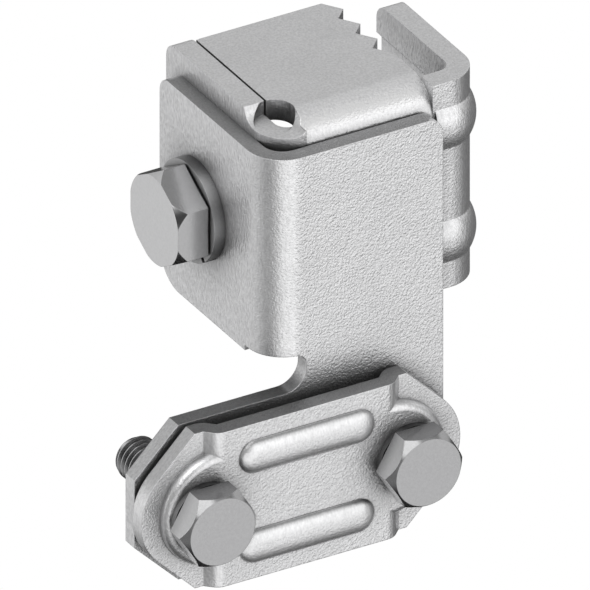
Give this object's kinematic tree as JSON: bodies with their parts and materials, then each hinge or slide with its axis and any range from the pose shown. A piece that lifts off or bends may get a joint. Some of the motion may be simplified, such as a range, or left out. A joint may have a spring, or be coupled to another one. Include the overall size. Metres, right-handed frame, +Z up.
{
  "type": "disconnecting clamp",
  "caption": "Folded sheet-steel clamp: a hooked, toothed jaw with a clamp bolt takes a section's edge, and a bolted pressed cover plate holds a flat conductor.",
  "frame": {"origin": "middle of the jaw gap where it ends at the web's inner face, at mid-height", "axes": "+X from the side flange across the jaw to the hook, +Y out of the jaw gap to the rear, +Z up from the bar to the toothed top"},
  "size_m": [0.072, 0.0519, 0.0793],
  "materials": {
    "galvanised_sheet": "hot-dip galvanised, satin",
    "bolt_steel": "zinc plated, satin"
  },
  "bodies": {
    "frame": {"jaw_body": "galvanised_sheet", "bracket": "galvanised_sheet"},
    "clamp_travel": {"clamp_washer": "bolt_steel"},
    "clamp_screw": {"clamp_bolt": "bolt_steel"},
    "cover": {"cover_plate": "galvanised_sheet", "cover_washer_left": "bolt_steel", "cover_washer_right": "bolt_steel"},
    "cover_screw_left": {"cover_bolt_left": "bolt_steel"},
    "cover_screw_right": {"cover_bolt_right": "bolt_steel"}
  },
  "joints": [
    {"name": "clamp_travel", "type": "slide", "parent": "frame", "child": "clamp_travel", "axis": [-1, 0, 0], "range_m": [0, 0.024]},
    {"name": "clamp_turn", "type": "hinge", "parent": "clamp_travel", "child": "clamp_screw", "pos_m": [-0.0393, 0.0159, -0.0037], "axis": [-1, 0, 0], "range_deg": [-1, 5761]},
    {"name": "cover_travel", "type": "slide", "parent": "frame", "child": "cover", "axis": [0, -1, 0], "range_m": [-0.00095, 0.012]},
    {"name": "cover_turn_left", "type": "hinge", "parent": "cover", "child": "cover_screw_left", "pos_m": [-0.0529, -0.0146, -0.0443], "axis": [0, -1, 0], "range_deg": [-274, 3457]},
    {"name": "cover_turn_right", "type": "hinge", "parent": "cover", "child": "cover_screw_right", "pos_m": [-0.0129, -0.0146, -0.0443], "axis": [0, -1, 0], "range_deg": [-274, 3457]}
  ],
  "couplings": [
    {"joint": "clamp_turn", "follows": "clamp_travel", "rad_per_m": 4188.8},
    {"joint": "cover_turn_left", "follows": "cover_travel", "rad_per_m": 5026.5},
    {"joint": "cover_turn_right", "follows": "cover_travel", "rad_per_m": 5026.5}
  ]
}
